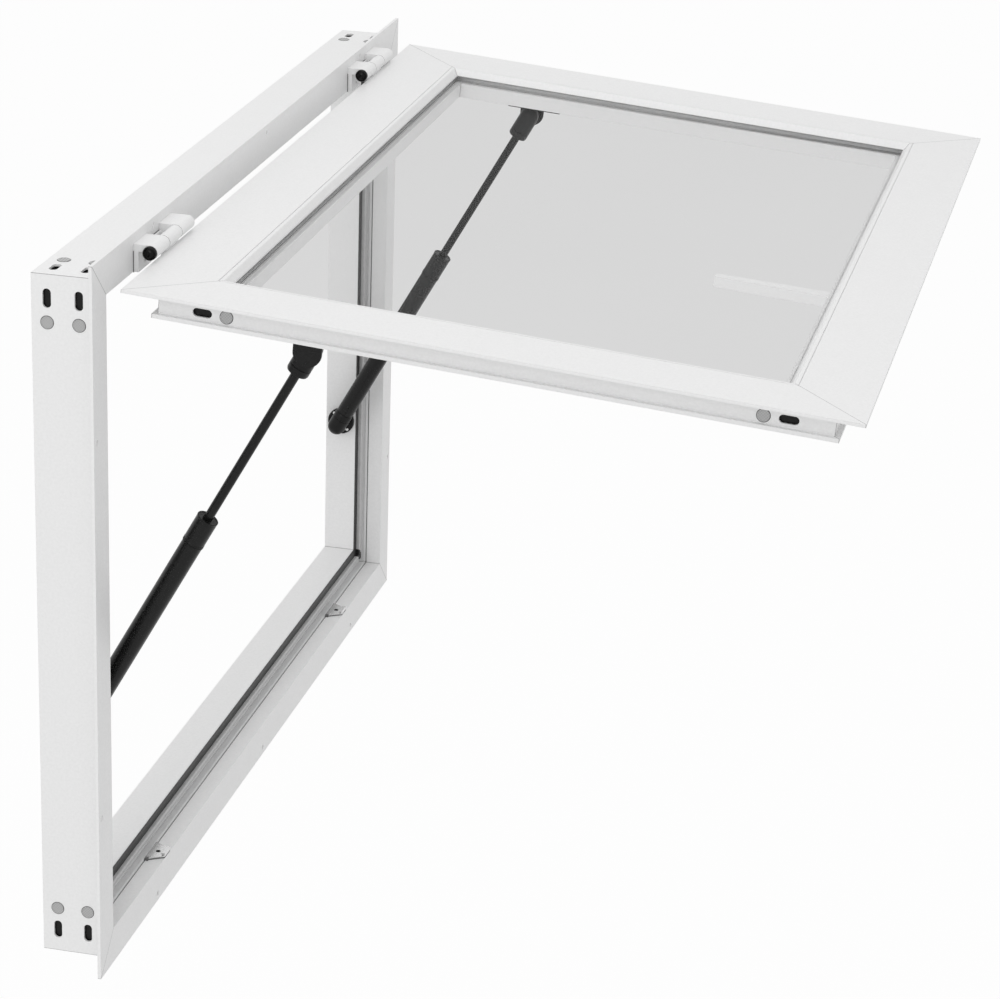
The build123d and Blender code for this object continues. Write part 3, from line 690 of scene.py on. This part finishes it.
def make_striker_details():
    """A flat dark screw head in each striker that paints the shade of its hole, and a dark pad under its plate and
    a dark block at its back corner that paint the shadow under the plate.
    """
    screws, shadow_pads = [], []
    for hand in ("left", "right"):
        low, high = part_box(f"{hand}_striker")
        middle = (low.x + high.x) / 2
        point = (middle, FLANGE_FACE + STRIKER_SCREW_BACK, low.z + STRIKER_THICKNESS)
        # painted shade: the flat dark screw head stands for the shade in the screw's hole
        screws.append(lathe(STRIKER_SCREW_PROFILE, facing(point, (0, 0, 1)), SCREW_STEPS))
        place = Matrix.Translation((middle, 0, low.z))
        front = STRIKER_FRONT_WIDTH / 2 + SHADOW_PAD_LAP
        back = STRIKER_BACK_WIDTH / 2 + SHADOW_PAD_LAP
        outline = [(-front, low.y), (front, low.y), (back, high.y), (-back, high.y)]
        # painted shadow: a dark pad a little wider than the plate, and a dark block at its back corner
        shadow_pads.append(prism(outline, SHADOW_PAD_THICKNESS, place))
        shadow_block_at = (-back + SHADOW_BLOCK_INSET, high.y - SHADOW_BLOCK_INSET, SHADOW_BLOCK_SIZE[2] / 2)
        shadow_pads.append(block(shadow_block_at, SHADOW_BLOCK_SIZE, place))
    piece("striker_screws", "frame", black_lacquer, screws)
    piece("striker_shadow_pads", "frame", shade_and_tape_rubber, shadow_pads)


def make_throat_line():
    """A dark strip in the groove round the throat: painted shade in the groove."""
    inset = (THROAT_INSET - GROOVE_DEPTH, THROAT_INSET)
    strips = strip_round(frame_panel, inset, GROOVE_START + GROOVE_WIDTH / 2, THROAT_SHADE_LINE)
    piece("throat_groove_shade", "frame", shade_and_tape_rubber, strips)


def make_glazing_lines():
    """The shadow line of the gasket in front of the pane and the tape behind it."""
    strips = []
    fronts = strip_round(
        door_panel, (GASKET_END, GASKET_END),
        GLASS_DEPTH - LINE_CLEARANCE - GASKET_LINE[1] / 2, GASKET_LINE,
    )
    backs = strip_round(
        door_panel, (TAPE_INSET, TAPE_INSET),
        GLASS_BACK - LINE_CLEARANCE - TAPE_LINE[1] / 2, TAPE_LINE,
    )
    for front, back in zip(fronts, backs):
        strips += [front, back]
    piece("glazing_lines", "door", shade_and_tape_rubber, strips)


# Surroundings

def direct_rays(made, through):
    """How much of a surround's own white shows: in full, or a share through the pane."""
    rays = add_node(made, "ShaderNodeLightPath")
    before_pane = maths(made, "LESS_THAN", rays.outputs["Transparent Depth"], 1)
    direct = maths(made, "MAXIMUM", before_pane, through)
    camera = maths(made, "MULTIPLY", rays.outputs["Is Camera Ray"], direct)
    glossy = rays.outputs["Is Glossy Ray"]
    other = maths(made, "MAXIMUM", glossy, rays.outputs["Is Transmission Ray"])
    return maths(made, "MAXIMUM", camera, other)


def make_floor():
    """A pale floor that shows as white, keeps the soft shadow and is clear from below."""
    bpy.ops.mesh.primitive_plane_add(size=FLOOR_SIZE, location=(0, 0, FLOOR_Z))
    floor = bpy.context.object
    floor.name = "floor"
    made, shader = material("floor")
    colour = tint(made, noise(made, scale=2), grey(0.86), grey(0.88))
    link(made, colour, shader.inputs["Base Color"])
    shader.inputs["Roughness"].default_value = 0.9
    shader.inputs["Specular IOR Level"].default_value = 0.0
    glow = add_node(made, "ShaderNodeEmission")
    glow.inputs["Strength"].default_value = 1.0
    direct = direct_rays(made, FLOOR_GLOW_THROUGH / FLOOR_GLOW)
    share = maths(made, "MULTIPLY", direct, FLOOR_GLOW)
    mix = add_node(made, "ShaderNodeMixShader")
    link(made, share, mix.inputs["Fac"])
    link(made, shader.outputs[0], mix.inputs[1])
    link(made, glow.outputs[0], mix.inputs[2])
    from_above = add_node(made, "ShaderNodeMixShader")
    below = add_node(made, "ShaderNodeNewGeometry").outputs["Backfacing"]
    link(made, below, from_above.inputs["Fac"])
    link(made, mix.outputs[0], from_above.inputs[1])
    link(made, add_node(made, "ShaderNodeBsdfTransparent").outputs[0], from_above.inputs[2])
    output = made.node_tree.nodes["Material Output"]
    link(made, from_above.outputs[0], output.inputs["Surface"])
    floor.data.materials.append(made)


def area_light(name, place, aim, size, power):
    data = bpy.data.lights.new(name, "AREA")
    data.shape = "DISK"
    data.size = size
    data.energy = power
    light = bpy.data.objects.new(name, data)
    light.location = place
    light.rotation_euler = (Vector(aim) - Vector(place)).to_track_quat("-Z", "Y").to_euler()
    bpy.context.scene.collection.objects.link(light)


def make_lights():
    """Soft studio light: an even surround, a broad lamp above and one on the camera's side."""
    world = bpy.data.worlds.new("surround")
    world.use_nodes = True
    background = world.node_tree.nodes["Background"]
    background.inputs["Color"].default_value = (1, 1, 1, 1)
    white = spread(world, direct_rays(world, 1.0), SURROUND, 1, start=0, end=1)
    link(world, white, background.inputs["Strength"])
    bpy.context.scene.world = world
    area_light("lamp_above", **LAMP_ABOVE)
    area_light("lamp_left", **LAMP_LEFT)


bpy.context.scene.view_settings.view_transform = "Standard"
make_camera()
make_floor()
make_lights()
dress_nodes()
make_corners(
    "frame", frame_panel, ("top", "bottom", "left", "right"), 0,
    FRAME_PLUG_FROM_END, FRAME_SLOT_FROM_END, FRAME_ROWS,
)
make_corners(
    "door", door_panel, ("left", "right"), DOOR_WALL_INSET,
    DOOR_PLUG_FROM_END, DOOR_SLOT_FROM_END, DOOR_ROWS,
)
make_hinges()
make_struts()
make_door_fittings()
make_striker_details()
make_throat_line()
make_glazing_lines()
